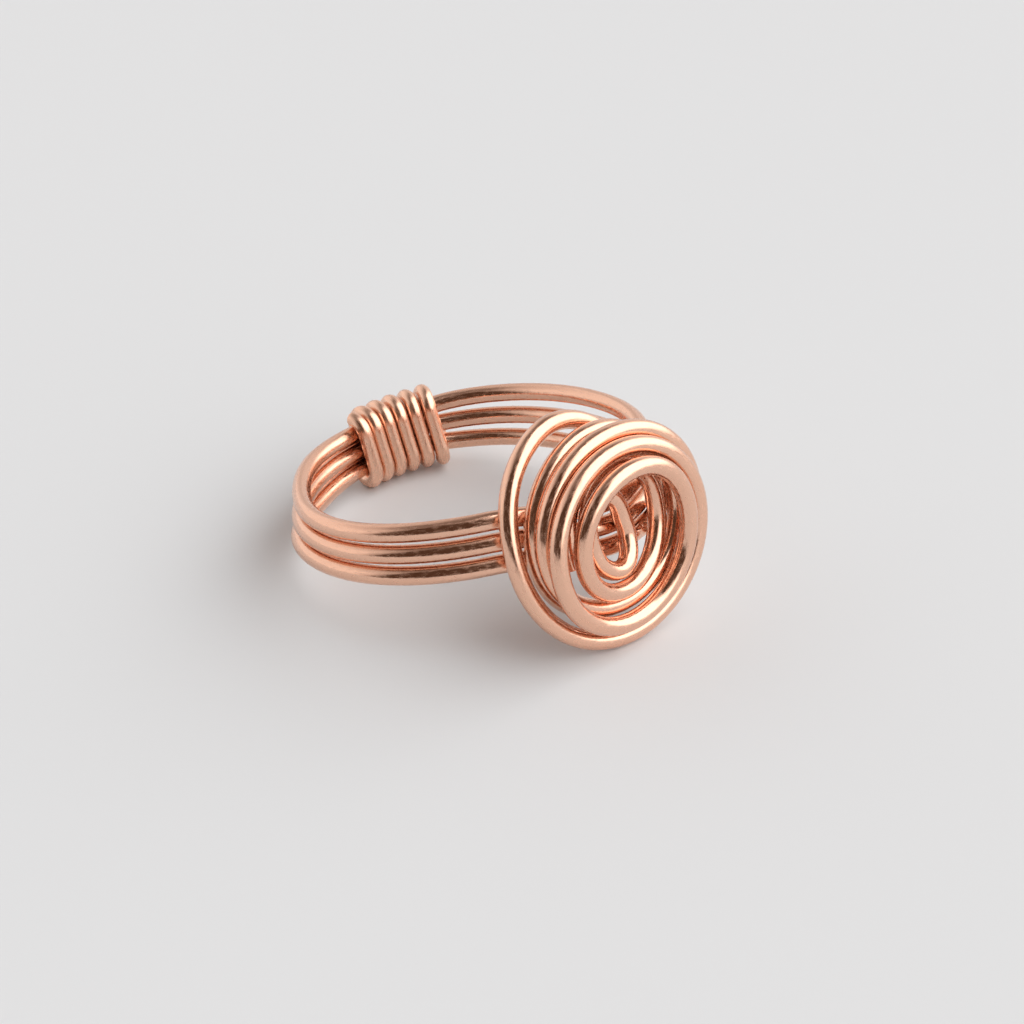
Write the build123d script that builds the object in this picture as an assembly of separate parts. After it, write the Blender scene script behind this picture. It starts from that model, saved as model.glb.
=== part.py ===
from build123d import *
from bisect import bisect_right
from math import cos, degrees, radians, sin, sqrt
import os

# Copper wire ring. Three turns of round wire make the shank. Both ends of that
# wire are wound into a rosette in front, and a thinner wire binds the three
# turns together at the back.
# Lengths are in millimetres and angles in degrees.
# The ring is worked out about its own middle: the finger goes through along Z
# and the rosette looks along +X. It is then tipped to lie on the floor.

# Main wire
wire_d = 1.05

# Shank: the bore is a soft three-sided round, as bent by hand.
finger_bore = 18.37
bore_lobe = 0.28
bore_lobe_angle = 33.1
crossing_middle = -8.0
crossing_half = 26.0
front_join = 40.0
back_join = 22.0

# Rosette: its axis is set off from the middle of the shank.
rosette_side = 0.71
rosette_drop = 0.79
rosette_out = 2.50
rosette_start = -14.0

# Binding wire
binding_d = 0.86
binding_turns = 6
binding_middle = 167.6
binding_hug = 0.035
binding_gap = 0.05

# Small space left where the main wire is divided between two pieces.
joint_gap = 0.05

# Shank turns. Angle: round the finger, from the rosette towards +Y.
# Pitch: between neighbouring turns, in wire diameters.
# Lean: how far the upper turn stands out over the lower one, in degrees.
shank_rows = [
    # angle, pitch, lean
    (-150, 1.146, 1.6),
    (-118, 1.07, -13.4),
    (-85, 1.10, -7.9),
    (-42, 1.18, -3.4),
    (0, 1.19, -1.0),
    (60, 1.45, 5.0),
    (95, 1.485, 2.2),
    (130, 1.33, 0.0),
    (145, 1.22, 0.0),
    (158, 1.06, 0.0),
    (180, 1.04, 0.0),
]

# Front wire of the rosette, from its hidden inner end to where it leaves for
# the shank. Turn: clockwise from the top, seen from the front.
# Radius and height: from the rosette's axis and plane, in wire diameters.
front_rows = [
    # turn, radius, height
    (-20, 2.25, -1.44),
    (0, 1.78, -1.34),
    (45, 1.05, -1.38),
    (90, 0.90, -1.38),
    (135, 1.35, -1.30),
    (180, 2.13, -0.81),
    (225, 2.08, -0.74),
    (270, 1.98, -0.78),
    (360, 3.21, -0.47),
    (450, 3.05, -1.14),
    (540, 3.13, -0.50),
    (630, 3.44, 0.26),
    (720, 3.62, 0.83),
    (810, 3.67, 0.55),
    (900, 4.86, -0.25),
    (990, 4.82, -0.05),
    (1080, 4.45, -0.15),
    (1170, 4.91, 0.00),
    (1260, 5.86, -0.90),
    (1350, 5.83, -2.14),
    (1395, 6.22, -2.88),
    (1425, 6.07, -3.16),
    (1455, 4.99, -3.21),
]

# Back wire of the rosette, from its tucked inner end outwards.
back_rows = [
    # turn, radius, height
    (-110, 3.05, -1.42),
    (-90, 3.00, -1.35),
    (-45, 3.12, -1.50),
    (0, 3.25, -1.55),
    (22, 3.75, -1.60),
    (45, 4.25, -1.20),
    (90, 4.46, -1.10),
    (180, 4.04, -1.02),
    (270, 4.70, -1.13),
    (360, 4.97, -1.06),
    (450, 5.60, -1.02),
    (540, 4.56, -2.15),
    (630, 4.53, -2.17),
    (720, 5.00, -2.12),
    (780, 4.75, -2.12),
    (812, 4.45, -2.16),
]

# Pull of the two stretches that lead from the rosette to the shank, as a
# share of the distance that each one spans.
front_pull = 1.07
back_pull = 1.3

wire_r = wire_d / 2
binding_r = binding_d / 2
shank_r = finger_bore / 2 + wire_r
rosette_x = shank_r + rosette_out
full_turn = 360.0


def smooth(rows, column, place, period=0.0):
    """Value of a column between its rows: a cubic in each span, whose slope
    at a row is the slope between that row's two neighbours."""
    table = [(row[0], row[column]) for row in rows]
    if period:
        before = [(x - period, y) for x, y in table]
        after = [(x + period, y) for x, y in table]
        table = before + table + after
    xs = [x for x, y in table]
    ys = [y for x, y in table]
    last = len(xs) - 1

    def slope(k):
        low = max(k - 1, 0)
        high = min(k + 1, last)
        return (ys[high] - ys[low]) / (xs[high] - xs[low])

    i = min(max(bisect_right(xs, place) - 1, 0), last - 1)
    span = xs[i + 1] - xs[i]
    t = (place - xs[i]) / span
    return between(t, ys[i], span * slope(i), ys[i + 1], span * slope(i + 1))


def between(t, start, start_way, end, end_way):
    """Cubic from a start to an end that keeps the way given at each."""
    first = start * (2 * t**3 - 3 * t**2 + 1) + start_way * (t**3 - 2 * t**2 + t)
    second = end * (3 * t**2 - 2 * t**3) + end_way * (t**3 - t**2)
    return first + second


def ease(t):
    """From 0 to 1, level at both ends."""
    t = min(max(t, 0.0), 1.0)
    return t * t * (3 - 2 * t)


def half_round(angle):
    """The same direction, between -180 and 180 degrees."""
    return (angle + 180.0) % full_turn - 180.0


def turn_radius(angle):
    """Distance of the middle turn's centre from the finger's axis."""
    return shank_r + bore_lobe * cos(radians(3 * (angle - bore_lobe_angle)))


def turn_pitch(angle):
    return smooth(shank_rows, 1, half_round(angle), full_turn) * wire_d


def stack_point(angle, out, up):
    """Point beside the middle turn at an angle: so far out, so far up."""
    radius = turn_radius(angle) + out
    return Vector(radius * cos(radians(angle)), radius * sin(radians(angle)), up)


def shank_point(angle):
    """Centre of the main wire along its three turns. It starts as the upper
    turn, and each pass behind the rosette takes it down by one turn, the last
    one on its way into the back wire of the rosette."""
    level = 1.0
    for number in (1, 2, 3):
        start = number * full_turn + crossing_middle - crossing_half
        level -= ease((angle - start) / (2 * crossing_half))
    lean = radians(smooth(shank_rows, 2, half_round(angle), full_turn))
    reach = level * turn_pitch(angle)
    return stack_point(angle, reach * sin(lean), reach * cos(lean))


def rosette_point(rows, place):
    """Centre of a rosette wire: a turn about the X direction whose radius and
    height change on the way."""
    radius = smooth(rows, 1, place) * wire_d
    height = smooth(rows, 2, place) * wire_d
    side = rosette_side + radius * sin(radians(place))
    up = radius * cos(radians(place)) - rosette_drop
    return Vector(rosette_x + height, side, up)


def front_point(place):
    return rosette_point(front_rows, place)


def back_point(place):
    return rosette_point(back_rows, place)


def way(curve, place):
    """Unit direction of a curve at a place, towards higher places."""
    step = 0.001
    return (curve(place + step) - curve(place - step)).normalized()


def stations(curve, first, last, count):
    """Points and directions along a curve, evenly spread."""
    places = [first + (last - first) * i / count for i in range(count + 1)]
    return [(curve(place), way(curve, place)) for place in places]


def lead(start, end, pull, count):
    """Stations of a smooth stretch between two stations, without the first."""
    reach = (end[0] - start[0]).length * pull

    def curve(t):
        return between(t, start[0], start[1] * reach, end[0], end[1] * reach)

    return stations(curve, 0.0, 1.0, count)[1:]


def joining_edges(start, end):
    """A line, or two arcs tangent to each other, between two stations."""
    across = end[0] - start[0]
    both = start[1] + end[1]
    straight = across.normalized()
    if (straight * 2 - both).length < 1e-6:
        return [Edge.make_line(start[0], end[0])]
    a = 2 * (1 - start[1].dot(end[1]))
    b = 2 * across.dot(both)
    c = -across.dot(across)
    if a < 1e-9:
        reach = -c / b
    else:
        reach = (sqrt(b * b - 4 * a * c) - b) / (2 * a)
    middle = (start[0] + end[0] + (start[1] - end[1]) * reach) / 2
    middle_way = (across - both * reach).normalized()
    first = Edge.make_tangent_arc(start[0], start[1], middle)
    second = Edge.make_tangent_arc(middle, middle_way, end[0])
    return [first, second]


def wire_along(path, radius):
    """Round wire through a list of stations."""
    edges = []
    for start, end in zip(path, path[1:]):
        edges += joining_edges(start, end)
    section = Plane(origin=path[0][0], z_dir=path[0][1]) * Circle(radius)
    return sweep(section, path=Wire(edges))


def shank_path():
    joint_angle = degrees(joint_gap / shank_r)
    first = front_join + joint_angle
    last = 3 * full_turn + back_join - joint_angle
    return stations(shank_point, first, last, 56)


def front_path():
    path = stations(front_point, rosette_start, front_rows[-1][0], 53)
    end = (shank_point(front_join), way(shank_point, front_join))
    return path + lead(path[-1], end, front_pull, 5)


def back_path():
    path = stations(back_point, back_rows[0][0], back_rows[-1][0], 36)
    join = 3 * full_turn + back_join
    end = (shank_point(join), way(shank_point, join) * -1)
    return path + lead(path[-1], end, back_pull, 5)


# Binding: each turn is a long loop round the three turns of the shank, flat
# inside and outside and round over the top and under the bottom.
loop_r = wire_r + binding_hug + binding_r
inner_r = turn_radius(binding_middle) - loop_r
binding_pitch = degrees((binding_d + binding_gap) / inner_r)
first_turn = binding_middle + (binding_turns - 1) / 2 * binding_pitch

# One turn of the binding. Share: of the pitch passed since the turn began.
# Out: -1 inside, 1 outside. Up: -1 at the lower turn of the shank, 1 at the
# upper one. Round: 1 over the upper turn, -1 under the lower one.
loop_rows = [
    # share, out, up, round
    (0.00, -1, 1, 0),
    (0.30, -1, -1, 0),
    (0.42, 0, -1, -1),
    (0.54, 1, -1, 0),
    (0.68, 1, 0, 0),
    (0.82, 1, 1, 0),
    (0.92, 0, 1, 1),
]
last_row = 4


def loop_point(number, row):
    """Where a turn of the binding passes one row of its table."""
    share, out, up, over = row
    angle = first_turn - (number + share) * binding_pitch
    return stack_point(angle, out * loop_r, up * turn_pitch(angle) + over * loop_r)


def binding_path():
    """Stations of the binding. It starts on top of the shank, one turn before
    the first loop, and ends half way up the outside of the last one. Its sides
    are straight, and it is level where it is highest and lowest."""
    corners = [(loop_point(-1, row), row) for row in loop_rows[-1:]]
    for number in range(binding_turns):
        corners += [(loop_point(number, row), row) for row in loop_rows]
    corners = corners[: len(corners) - len(loop_rows) + last_row + 1]
    path = []
    for i, (point, row) in enumerate(corners):
        before = corners[max(i - 1, 0)]
        after = corners[min(i + 1, len(corners) - 1)]
        if i == 0:
            along = loop_point(0, loop_rows[0]) - loop_point(-1, loop_rows[-2])
        elif row[3] or after[1][1] == row[1] == before[1][1]:
            along = after[0] - before[0]
        elif after[1][1] == row[1]:
            along = after[0] - point
        else:
            along = point - before[0]
        path.append((point, along.normalized()))
    return path


def lowest(path, radius, tilt):
    """Lowest height of a wire when the ring is tipped by an angle."""
    return min(p.X * sin(tilt) + p.Z * cos(tilt) for p, along in path) - radius


def lying_tilt(rosette, binding):
    """Tilt at which the rosette and the binding touch the floor together."""
    low = 0.0
    high = radians(40)
    for halving in range(40):
        middle = (low + high) / 2
        if lowest(rosette, wire_r, middle) < lowest(binding, binding_r, middle):
            low = middle
        else:
            high = middle
    return low


paths = {
    "shank_wire": (shank_path(), wire_r),
    "rosette_front_wire": (front_path(), wire_r),
    "rosette_back_wire": (back_path(), wire_r),
    "binding_wire": (binding_path(), binding_r),
}
tilt = lying_tilt(paths["rosette_front_wire"][0], paths["binding_wire"][0])
lying = Rotation(0, -degrees(tilt), 0)
parts = {}
for name, (path, radius) in paths.items():
    parts[name] = lying * wire_along(path, radius)

# The origin is on the floor, under the middle of the ring's outline.
boxes = [part.bounding_box() for part in parts.values()]
low_x = min(box.min.X for box in boxes)
high_x = max(box.max.X for box in boxes)
low_y = min(box.min.Y for box in boxes)
high_y = max(box.max.Y for box in boxes)
floor = min(box.min.Z for box in boxes)
top = max(box.max.Z for box in boxes)
placing = Pos(-(low_x + high_x) / 2, -(low_y + high_y) / 2, -floor)
os.makedirs("parts", exist_ok=True)
for name, part in parts.items():
    part = placing * part
    part.label = name
    export_step(part, f"parts/{name}.step")
    print(name, "volume", round(part.volume, 3), "valid", part.is_valid)
print("tilt", round(degrees(tilt), 3))
print("size", round(high_x - low_x, 2), round(high_y - low_y, 2), round(top - floor, 2))
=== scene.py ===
import bpy
import numpy as np
from mathutils import Matrix, Vector


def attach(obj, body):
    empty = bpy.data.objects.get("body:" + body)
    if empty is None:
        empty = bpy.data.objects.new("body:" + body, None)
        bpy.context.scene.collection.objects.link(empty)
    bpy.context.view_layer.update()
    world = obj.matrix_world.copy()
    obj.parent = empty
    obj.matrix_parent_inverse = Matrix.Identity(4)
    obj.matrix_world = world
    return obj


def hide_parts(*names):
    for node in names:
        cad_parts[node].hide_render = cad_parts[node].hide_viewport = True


# A finger ring of bare copper wire, lying on a pale table. Sizes are in millimetres until they
# reach Blender, and the curves are the ones the solid parts were drawn with.
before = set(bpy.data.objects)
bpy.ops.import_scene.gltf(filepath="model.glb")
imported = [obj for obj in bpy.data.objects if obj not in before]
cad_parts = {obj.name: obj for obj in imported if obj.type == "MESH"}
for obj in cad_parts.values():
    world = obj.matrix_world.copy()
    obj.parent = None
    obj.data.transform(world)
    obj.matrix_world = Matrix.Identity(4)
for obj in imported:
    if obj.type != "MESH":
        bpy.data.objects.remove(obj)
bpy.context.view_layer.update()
print("solid parts:", ", ".join(sorted(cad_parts)))

mm = 0.001
fullTurn = 360.0

wire = {
    "across": 1.05,
    "bore": 18.37,
    "lobe": 0.28,               # the bore is a soft three-sided round
    "lobeAngle": 33.1,
    "crossingMiddle": -8.0,     # where a turn changes level behind the rosette
    "crossingHalf": 26.0,       # and how far to each side of there
    "frontJoin": 40.0,          # angles at which the shank meets the leads into the rosette
    "backJoin": 22.0,
    "frontPull": 1.07,          # how far the leads keep straight on, as a share of their reach
    "backPull": 1.3,
    "round": 28,                # faces around the wire
    "step": 0.22,               # distance between rings of the mesh
    "lean": (1.0, 0.0, -1.0),   # a way that the wire never runs along, which its sides start from
}

rosette = {
    "side": 0.71,               # its axis, to the side of the shank's middle and below it
    "drop": 0.79,
    "out": 2.50,                # from the shank's middle turn to the rosette's plane
    "start": -14.0,             # where the front wire starts, on the turns of its rows
}

binding = {
    "across": 0.86,
    "turns": 6,
    "middle": 167.6,            # angle round the finger
    "hug": 0.035,               # the space between it and the shank
    "gap": 0.05,                # the space between its turns
    "round": 24,
    "step": 0.16,
    "lean": (0.2, 1.0, 0.0),
}

# points on each stretch, before they are set an even distance apart
fineness = {
    "front": 2400,
    "shank": 2400,
    "back": 1500,
    "lead": 160,
    "loopSpan": 40,
}

# angle round the finger, distance between turns in wire widths, outward lean in degrees
shankRows = np.array([
    (-150, 1.146, 1.6),
    (-118, 1.07, -13.4),
    (-85, 1.10, -7.9),
    (-42, 1.18, -3.4),
    (0, 1.19, -1.0),
    (60, 1.45, 5.0),
    (95, 1.485, 2.2),
    (130, 1.33, 0.0),
    (145, 1.22, 0.0),
    (158, 1.06, 0.0),
    (180, 1.04, 0.0),
])

# clockwise angle from the top, distance from the rosette's axis and height towards the front,
# both in wire widths, from the hidden inner end outwards
frontRows = np.array([
    (-20, 2.25, -1.44),
    (0, 1.78, -1.34),
    (45, 1.05, -1.38),
    (90, 0.90, -1.38),
    (135, 1.35, -1.30),
    (180, 2.13, -0.81),
    (225, 2.08, -0.74),
    (270, 1.98, -0.78),
    (360, 3.21, -0.47),
    (450, 3.05, -1.14),
    (540, 3.13, -0.50),
    (630, 3.44, 0.26),
    (720, 3.62, 0.83),
    (810, 3.67, 0.55),
    (900, 4.86, -0.25),
    (990, 4.82, -0.05),
    (1080, 4.45, -0.15),
    (1170, 4.91, 0.00),
    (1260, 5.86, -0.90),
    (1350, 5.83, -2.14),
    (1395, 6.22, -2.88),
    (1425, 6.07, -3.16),
    (1455, 4.99, -3.21),
])

backRows = np.array([
    (-110, 3.05, -1.42),
    (-90, 3.00, -1.35),
    (-45, 3.12, -1.50),
    (0, 3.25, -1.55),
    (22, 3.75, -1.60),
    (45, 4.25, -1.20),
    (90, 4.46, -1.10),
    (180, 4.04, -1.02),
    (270, 4.70, -1.13),
    (360, 4.97, -1.06),
    (450, 5.60, -1.02),
    (540, 4.56, -2.15),
    (630, 4.53, -2.17),
    (720, 5.00, -2.12),
    (780, 4.75, -2.12),
    (812, 4.45, -2.16),
])

shankRadius = wire["bore"] / 2 + wire["across"] / 2
rosettePlane = shankRadius + rosette["out"]


# cubic from a start to an end that keeps the way given at each
def between(t, start, startWay, end, endWay):
    first = start * (2 * t**3 - 3 * t**2 + 1) + startWay * (t**3 - 2 * t**2 + t)
    return first + end * (3 * t**2 - 2 * t**3) + endWay * (t**3 - t**2)


# a column of a table read between its rows: a cubic in each span, whose slope at a row is the
# slope between that row's two neighbours
def readRows(rows, column, places, goesRound=False):
    xs = rows[:, 0]
    ys = rows[:, column]
    if goesRound:
        xs = np.concatenate([xs - fullTurn, xs, xs + fullTurn])
        ys = np.tile(ys, 3)
    low = np.maximum(np.arange(len(xs)) - 1, 0)
    high = np.minimum(np.arange(len(xs)) + 1, len(xs) - 1)
    slopes = (ys[high] - ys[low]) / (xs[high] - xs[low])
    i = np.clip(np.searchsorted(xs, places, side="right") - 1, 0, len(xs) - 2)
    span = xs[i + 1] - xs[i]
    t = (places - xs[i]) / span
    return between(t, ys[i], span * slopes[i], ys[i + 1], span * slopes[i + 1])


def ease(t):
    t = np.clip(t, 0.0, 1.0)
    return t * t * (3 - 2 * t)


def halfRound(angles):
    return (angles + 180.0) % fullTurn - 180.0


def turnPitch(angles):
    return readRows(shankRows, 1, halfRound(angles), True) * wire["across"]


# a point beside the middle turn: radius = the soft round's radius + out, height = up
def stackPoint(angles, out, up):
    radius = shankRadius + wire["lobe"] * np.cos(np.radians(3 * (angles - wire["lobeAngle"]))) + out
    a = np.radians(angles)
    return np.stack([radius * np.cos(a), radius * np.sin(a), up + 0 * a], axis=1)


# the three turns: level 1 is the upper turn, and each pass behind the rosette lowers it by one,
# the last one on its way into the back of the rosette
def shankCurve(angles):
    level = np.ones_like(angles)
    for number in (1, 2, 3):
        start = number * fullTurn + wire["crossingMiddle"] - wire["crossingHalf"]
        level = level - ease((angles - start) / (2 * wire["crossingHalf"]))
    lean = np.radians(readRows(shankRows, 2, halfRound(angles), True))
    reach = level * turnPitch(angles)
    return stackPoint(angles, reach * np.sin(lean), reach * np.cos(lean))


# a rosette wire: (plane + height, side + r sin a, r cos a - drop), r and height from its rows
def rosetteCurve(rows, places):
    radius = readRows(rows, 1, places) * wire["across"]
    height = readRows(rows, 2, places) * wire["across"]
    a = np.radians(places)
    side = rosette["side"] + radius * np.sin(a)
    up = radius * np.cos(a) - rosette["drop"]
    return np.stack([rosettePlane + height, side, up], axis=1)


def unit(vectors):
    return vectors / np.linalg.norm(vectors, axis=-1, keepdims=True)


# the stretch from the end of one curve to the start of another, tangent to both
def leadCurve(before, after, pull):
    start, end = before[-1], after[0]
    reach = np.linalg.norm(end - start) * pull
    startWay = unit(before[-1] - before[-2]) * reach
    endWay = unit(after[1] - after[0]) * reach
    t = np.linspace(0.0, 1.0, fineness["lead"])[1:-1, None]
    return between(t, start, startWay, end, endWay)


# the main wire from its end inside the rosette, three times round, to its end behind the rosette
def mainWireCurve():
    front = rosetteCurve(frontRows, np.linspace(rosette["start"], frontRows[-1, 0], fineness["front"]))
    last = 3 * fullTurn + wire["backJoin"]
    shank = shankCurve(np.linspace(wire["frontJoin"], last, fineness["shank"]))
    back = rosetteCurve(backRows, np.linspace(backRows[-1, 0], backRows[0, 0], fineness["back"]))
    frontLead = leadCurve(front, shank, wire["frontPull"])
    backLead = leadCurve(shank, back, wire["backPull"])
    return np.vstack([front, frontLead, shank, backLead, back])


# share of a pitch passed, out (-1 inside, 1 outside), up (-1 lower turn, 1 upper turn), and
# whether the place is right over the stack or right under it
loopRows = np.array([
    (0.00, -1, 1, 0),
    (0.30, -1, -1, 0),
    (0.42, 0, -1, -1),
    (0.54, 1, -1, 0),
    (0.68, 1, 0, 0),
    (0.82, 1, 1, 0),
    (0.92, 0, 1, 1),
])
firstRow = 6                    # the row it starts on, a turn early: on top of the shank
lastRow = 4                     # and the last turn's row it ends on: half way up the outside

# how strongly a cubic leaves both ends of a quarter of a circle, in widths of the ends' distance
quarterPull = 1.1715


# the binding: long loops round the stack, straight at the sides and half round at the ends
def bindingCurve():
    loopRadius = wire["across"] / 2 + binding["hug"] + binding["across"] / 2
    middle = np.array([binding["middle"]])
    innerRadius = np.linalg.norm(stackPoint(middle, 0.0, 0.0)[0]) - loopRadius
    pitch = np.degrees((binding["across"] + binding["gap"]) / innerRadius)
    firstTurn = binding["middle"] + (binding["turns"] - 1) / 2 * pitch
    rows = np.tile(loopRows, (binding["turns"] + 1, 1))
    turns = np.repeat(np.arange(-1, binding["turns"]), len(loopRows))
    angles = firstTurn - (turns + rows[:, 0]) * pitch
    up = rows[:, 2] * turnPitch(angles) + rows[:, 3] * loopRadius
    corners = stackPoint(angles, rows[:, 1] * loopRadius, up)
    sideAfter = np.append(rows[1:, 1], rows[0, 1])
    sideBefore = np.append(rows[-1, 1], rows[:-1, 1])
    after = np.roll(corners, -1, axis=0)
    before = np.roll(corners, 1, axis=0)
    # a corner's way is level at the top and bottom, and along the straight side next to it
    ways = np.where((sideAfter == rows[:, 1])[:, None], after - corners, corners - before)
    through = (rows[:, 3] != 0) | ((sideAfter == rows[:, 1]) & (sideBefore == rows[:, 1]))
    ways = unit(np.where(through[:, None], after - before, ways))
    keep = slice(firstRow, len(rows) - len(loopRows) + lastRow + 1)
    corners, ways, sides = corners[keep], ways[keep], rows[keep, 1]
    gap = np.linalg.norm(corners[1:] - corners[:-1], axis=1)
    pull = np.where(sides[1:] == sides[:-1], gap, gap * quarterPull)[:, None]
    t = np.linspace(0.0, 1.0, fineness["loopSpan"])[:-1, None, None]
    spans = between(t, corners[:-1], ways[:-1] * pull, corners[1:], ways[1:] * pull)
    points = np.swapaxes(spans, 0, 1).reshape(-1, 3)
    return np.vstack([points, corners[-1:]])


# a curve's points set an even distance apart
def evenly(points, step):
    along = np.concatenate([[0.0], np.cumsum(np.linalg.norm(np.diff(points, axis=0), axis=1))])
    count = int(np.ceil(along[-1] / step)) + 1
    places = np.linspace(0.0, along[-1], count)
    return np.stack([np.interp(places, along, points[:, k]) for k in range(3)], axis=1), places


# sides for a tube that don't twist: the side that leans on a fixed direction, turned back by
# the sum of its own turning
def untwistedSides(ways, lean):
    side = unit(np.cross(ways, lean))
    other = np.cross(ways, side)
    turning = np.einsum("ij,ij->i", np.diff(side, axis=0), (other[1:] + other[:-1]) / 2)
    back = -np.concatenate([[0.0], np.cumsum(turning)])[:, None]
    return side * np.cos(back) + other * np.sin(back), other * np.cos(back) - side * np.sin(back)


# the ring's own axes tipped to lie on the table, and moved to where the solid ring lies
lying = {
    "tilt": 13.291,
    "place": (-1.164, 0.324, 4.726),
}


def toTable(points):
    t = np.radians(lying["tilt"])
    turned = np.array([(np.cos(t), 0, -np.sin(t)), (0, 1, 0), (np.sin(t), 0, np.cos(t))])
    return (points @ turned.T + np.array(lying["place"])) * mm


cutEnd = {
    "burr": 0.10,               # the radius of the edge where the wire was cut
    "rings": 4,
}


# a cut end's edge: a ring burr (1 - sin a) short of the end has the radius r - burr (1 - cos a)
def roundedEnds(centres, ways, radius):
    burr = cutEnd["burr"]
    a = np.linspace(0.0, np.pi / 2, cutEnd["rings"] + 1)[1:]
    short = burr * (1 - np.sin(a))[:, None]
    narrow = radius - burr * (1 - np.cos(a))
    first = centres[0] + ways[0] * short[::-1]
    last = centres[-1] - ways[-1] * short
    middle = centres.copy()
    middle[0] += ways[0] * burr
    middle[-1] -= ways[-1] * burr
    radii = np.concatenate([narrow[::-1], np.full(len(middle), radius), narrow])
    return np.vstack([first, middle, last]), radii


# each end's value repeated for the rings of its rounded edge
def withEnds(values):
    count = cutEnd["rings"]
    return np.concatenate([np.repeat(values[:1], count, 0), values, np.repeat(values[-1:], count, 0)])


# the skin between the rings, and the two flat ends, each a fan round its middle point
def tubeFaces(ringCount, around):
    i = np.arange(ringCount - 1)[:, None] * around
    j = np.arange(around)
    k = (j + 1) % around
    skin = np.stack([i + j, i + k, i + around + k, i + around + j], axis=2).reshape(-1, 4)
    tip = np.full(around, ringCount * around)
    lastRing = (ringCount - 1) * around
    startFan = np.stack([k, j, tip], axis=1)
    endFan = np.stack([lastRing + j, lastRing + k, tip + 1], axis=1)
    return skin, np.vstack([startFan, endFan])


# the space of the grain, which unrolls with the wire: (along, r cos v, r sin v)
def grainSpace(mesh, along, v, radii):
    spot = np.stack([
        np.repeat(along, len(v)),
        (np.cos(v)[None, :] * radii[:, None]).ravel(),
        (np.sin(v)[None, :] * radii[:, None]).ravel(),
    ], axis=1)
    spot = np.vstack([spot, [[along[0], 0, 0], [along[-1], 0, 0]]]) * mm
    mesh.attributes.new("wireSpace", "FLOAT_VECTOR", "POINT").data.foreach_set("vector", spot.ravel())


# how much of the flat map a millimetre along the wire and a radian round it take
mapScale = (0.01, 0.159)


# the wire unrolled into a flat map, (along, v), with the last face of each ring at the full turn
def flatMap(mesh, along, v, skinFaces):
    flat = mesh.uv_layers.new(name="wireMap")
    corners = np.empty(len(mesh.loops), dtype=np.int32)
    mesh.loops.foreach_get("vertex_index", corners)
    alongEach = np.append(np.repeat(along, len(v)), [along[0], along[-1]])
    roundEach = np.append(np.tile(v, len(along)), [0.0, 0.0])
    places = np.stack([alongEach, roundEach], axis=1)[corners]
    farSide = np.zeros(len(corners), dtype=bool)
    farSide[: skinFaces * 4] = np.tile([False, True, True, False], skinFaces)
    places[:, 1] = np.where(farSide & (places[:, 1] == 0.0), 2 * np.pi, places[:, 1])
    flat.data.foreach_set("uv", (places * mapScale).astype(np.float32).ravel())


# a tube: centre + r (side cos v + other sin v), with rounded edges at its cut ends
def wireTube(name, points, look):
    centres, along = evenly(points, look["step"])
    ways = unit(np.gradient(centres, axis=0))
    side, other = untwistedSides(ways, unit(np.array(look["lean"])))
    centres, radii = roundedEnds(centres, ways, look["across"] / 2)
    side, other, along = withEnds(side), withEnds(other), withEnds(along)
    v = np.arange(look["round"]) * 2 * np.pi / look["round"]
    rings = side[:, None] * np.cos(v)[None, :, None] + other[:, None] * np.sin(v)[None, :, None]
    skin = centres[:, None] + rings * radii[:, None, None]
    tips = np.stack([centres[0], centres[-1]])
    vertices = toTable(np.vstack([skin.reshape(-1, 3), tips]))
    skinFaces, endFaces = tubeFaces(len(centres), look["round"])
    mesh = bpy.data.meshes.new(name)
    mesh.from_pydata(vertices, [], skinFaces.tolist() + endFaces.tolist())
    mesh.polygons.foreach_set("use_smooth", np.ones(len(mesh.polygons), dtype=bool))
    grainSpace(mesh, along, v, radii)
    flatMap(mesh, along, v, len(skinFaces))
    mesh.update()
    piece = bpy.data.objects.new(name, mesh)
    bpy.context.scene.collection.objects.link(piece)
    print(name, "length", round(float(along[-1]), 1), "mm,", len(mesh.polygons), "faces")
    return piece


mainWire = wireTube("mainWire", mainWireCurve(), wire)
bindingWire = wireTube("bindingWire", bindingCurve(), binding)

copper = {
    "colour": (0.86, 0.515, 0.37),
    "roughness": (0.09, 0.34),  # in the smoothest and the roughest grain
    "streakLength": 4.0,        # how much longer than wide the drawn grain is
    "grainSize": 0.10,
    "grainDetail": 3.0,
    "grainReach": (0.35, 0.70), # the noise where the skin is smoothest and where it is roughest
    "grainDepth": 0.003,
}

# the binding is a softer wire with a duller skin; its colour is painted lighter than the main wire's,
# which paints extra light onto the binding
bindingCopperPaintedLighter = {
    # painted light: a lighter copy of the copper colour stands for the light the binding catches
    "colour": (0.90, 0.555, 0.40),
    "roughness": (0.22, 0.42),
    "streakLength": 4.0,
    "grainSize": 0.10,
    "grainDetail": 3.0,
    "grainReach": (0.35, 0.70),
    "grainDepth": 0.003,
}


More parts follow.
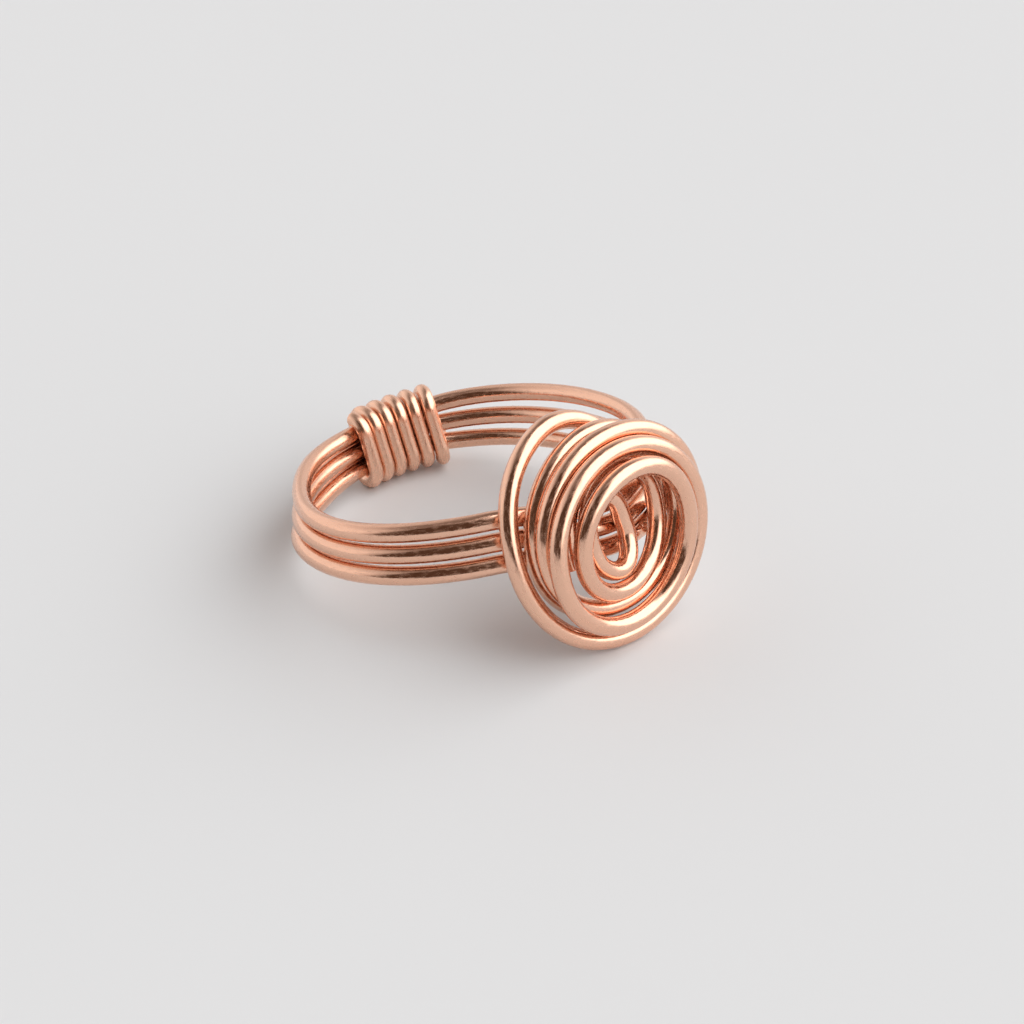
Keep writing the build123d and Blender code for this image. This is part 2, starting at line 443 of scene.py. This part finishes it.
# bare drawn copper: metal with grain that runs along the wire
def drawnCopper(name, look):
    material = bpy.data.materials.new(name)
    material.use_nodes = True
    nodes = material.node_tree.nodes
    links = material.node_tree.links
    shader = nodes["Principled BSDF"]
    shader.inputs["Metallic"].default_value = 1.0
    shader.inputs["Base Color"].default_value = (*look["colour"], 1.0)
    shader.inputs["Roughness"].default_value = sum(look["roughness"]) / 2
    space = nodes.new("ShaderNodeAttribute")
    space.attribute_name = "wireSpace"
    stretch = nodes.new("ShaderNodeMapping")
    stretch.inputs["Scale"].default_value = (1 / look["streakLength"], 1.0, 1.0)
    links.new(space.outputs["Vector"], stretch.inputs["Vector"])
    grain = nodes.new("ShaderNodeTexNoise")
    grain.inputs["Scale"].default_value = 1 / (look["grainSize"] * mm)
    grain.inputs["Detail"].default_value = look["grainDetail"]
    links.new(stretch.outputs["Vector"], grain.inputs["Vector"])
    rough = nodes.new("ShaderNodeMapRange")
    rough.inputs["From Min"].default_value = look["grainReach"][0]
    rough.inputs["From Max"].default_value = look["grainReach"][1]
    rough.inputs["To Min"].default_value = look["roughness"][0]
    rough.inputs["To Max"].default_value = look["roughness"][1]
    links.new(grain.outputs["Fac"], rough.inputs["Value"])
    links.new(rough.outputs["Result"], shader.inputs["Roughness"])
    bump = nodes.new("ShaderNodeBump")
    bump.inputs["Strength"].default_value = 1.0
    bump.inputs["Distance"].default_value = look["grainDepth"] * mm
    links.new(grain.outputs["Fac"], bump.inputs["Height"])
    links.new(bump.outputs["Normal"], shader.inputs["Normal"])
    return material


mainWire.data.materials.append(drawnCopper("copperWire", copper))
bindingWire.data.materials.append(drawnCopper("bindingCopperPaintedLighter", bindingCopperPaintedLighter))
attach(mainWire, "root")
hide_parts("shank_wire", "rosette_front_wire", "rosette_back_wire")
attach(bindingWire, "root")
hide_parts("binding_wire")
print("copper on both wires")

table = {
    "half": 0.60,               # half its side, in metres
    "colour": (0.71, 0.73, 0.745),
    "roughness": 0.75,
}


def paleTable(look):
    half = look["half"]
    mesh = bpy.data.meshes.new("table")
    corners = [(-half, -half, 0), (half, -half, 0), (half, half, 0), (-half, half, 0)]
    mesh.from_pydata(corners, [], [(0, 1, 2, 3)])
    material = bpy.data.materials.new("paleTable")
    material.use_nodes = True
    shader = material.node_tree.nodes["Principled BSDF"]
    shader.inputs["Base Color"].default_value = (*look["colour"], 1.0)
    shader.inputs["Roughness"].default_value = look["roughness"]
    mesh.materials.append(material)
    piece = bpy.data.objects.new("table", mesh)
    bpy.context.scene.collection.objects.link(piece)


paleTable(table)


# a direction, from its angle round from +X towards +Y and its height above the table, in degrees
def direction(angle, height):
    a, h = np.radians(angle), np.radians(height)
    return Vector((np.cos(a) * np.cos(h), np.sin(a) * np.cos(h), np.sin(h)))


# The room: one grey, and soft patches that are lighter or darker than it. A patch has a middle
# (angle, height), how far it keeps its full share to each side of it, and where it has faded out,
# all in degrees.
room = {
    "grey": 0.49,
    "lessGreen": 0.035,         # so that what is dark is also warm
    "lessBlue": 0.0525,
    "patches": [
        {"angle": 42, "sideways": (44, 70), "height": 48, "upright": (34, 52), "share": 1.95},
        {"angle": 205, "sideways": (36, 62), "height": 18, "upright": (24, 44), "share": 0.55},
        {"angle": 120, "sideways": (14, 40), "height": 20, "upright": (12, 30), "share": 0.35},
        {"angle": 299, "sideways": (32, 44), "height": 30, "upright": (34, 50), "share": -0.40},
        {"angle": 185, "sideways": (60, 90), "height": 64, "upright": (22, 38), "share": -0.25},
    ],
}


# a patch is share * fade(angle from the middle) * fade(height from the middle), and a fade is 1
# near the middle and 0 far from it
def softRoom(look):
    world = bpy.data.worlds.new("room")
    world.use_nodes = True
    nodes = world.node_tree.nodes
    links = world.node_tree.links
    spot = nodes.new("ShaderNodeTexCoord")

    def number(operation, *values):
        node = nodes.new("ShaderNodeMath")
        node.operation = operation
        for socket, value in zip(node.inputs, values):
            if isinstance(value, (int, float)):
                socket.default_value = value
            else:
                links.new(value, socket)
        return node.outputs["Value"]

    def fade(value, reach):
        node = nodes.new("ShaderNodeMapRange")
        node.interpolation_type = "SMOOTHSTEP"
        node.inputs["From Min"].default_value = np.radians(reach[1])
        node.inputs["From Max"].default_value = np.radians(reach[0])
        links.new(number("ABSOLUTE", value), node.inputs["Value"])
        return node.outputs["Result"]

    total = look["grey"]
    for patch in look["patches"]:
        turn = nodes.new("ShaderNodeVectorRotate")
        turn.rotation_type = "Z_AXIS"
        turn.inputs["Angle"].default_value = -np.radians(patch["angle"])
        links.new(spot.outputs["Generated"], turn.inputs["Vector"])
        parts = nodes.new("ShaderNodeSeparateXYZ")
        links.new(turn.outputs["Vector"], parts.inputs["Vector"])
        aside = number("ARCTAN2", parts.outputs["Y"], parts.outputs["X"])
        height = number("ARCSINE", parts.outputs["Z"])
        above = number("SUBTRACT", height, float(np.radians(patch["height"])))
        shape = number("MULTIPLY", fade(aside, patch["sideways"]), fade(above, patch["upright"]))
        total = number("MULTIPLY_ADD", shape, patch["share"], total)
    colour = nodes.new("ShaderNodeCombineColor")
    links.new(total, colour.inputs["Red"])
    links.new(number("SUBTRACT", total, look["lessGreen"]), colour.inputs["Green"])
    links.new(number("SUBTRACT", total, look["lessBlue"]), colour.inputs["Blue"])
    links.new(colour.outputs["Color"], nodes["Background"].inputs["Color"])
    bpy.context.scene.world = world


softRoom(room)
bpy.context.scene.view_settings.view_transform = "Standard"
print("table and room")

view = {
    "angle": -42.583,           # where the camera stands, round from +X
    "height": 33.066,
    "distance": 130.68,         # from the point it looks at, in millimetres
    "aim": (1.234, 1.466, 3.202),
    "roll": 0.25,
    "lens": 81.27,
    "sensor": 36.0,
    "clip": (0.001, 10.0),      # nearest and farthest that it sees, in metres
}


def photoCamera(look):
    camera = bpy.data.cameras.new("photoCamera")
    camera.sensor_width = look["sensor"]
    camera.lens = look["lens"]
    camera.clip_start, camera.clip_end = look["clip"]
    piece = bpy.data.objects.new("photoCamera", camera)
    back = direction(look["angle"], look["height"])
    piece.location = (Vector(look["aim"]) + back * look["distance"]) * mm
    turn = (-back).to_track_quat("-Z", "Y").to_matrix()
    piece.rotation_euler = (turn @ Matrix.Rotation(np.radians(look["roll"]), 3, "Z")).to_euler()
    bpy.context.scene.collection.objects.link(piece)
    bpy.context.scene.camera = piece


photoCamera(view)
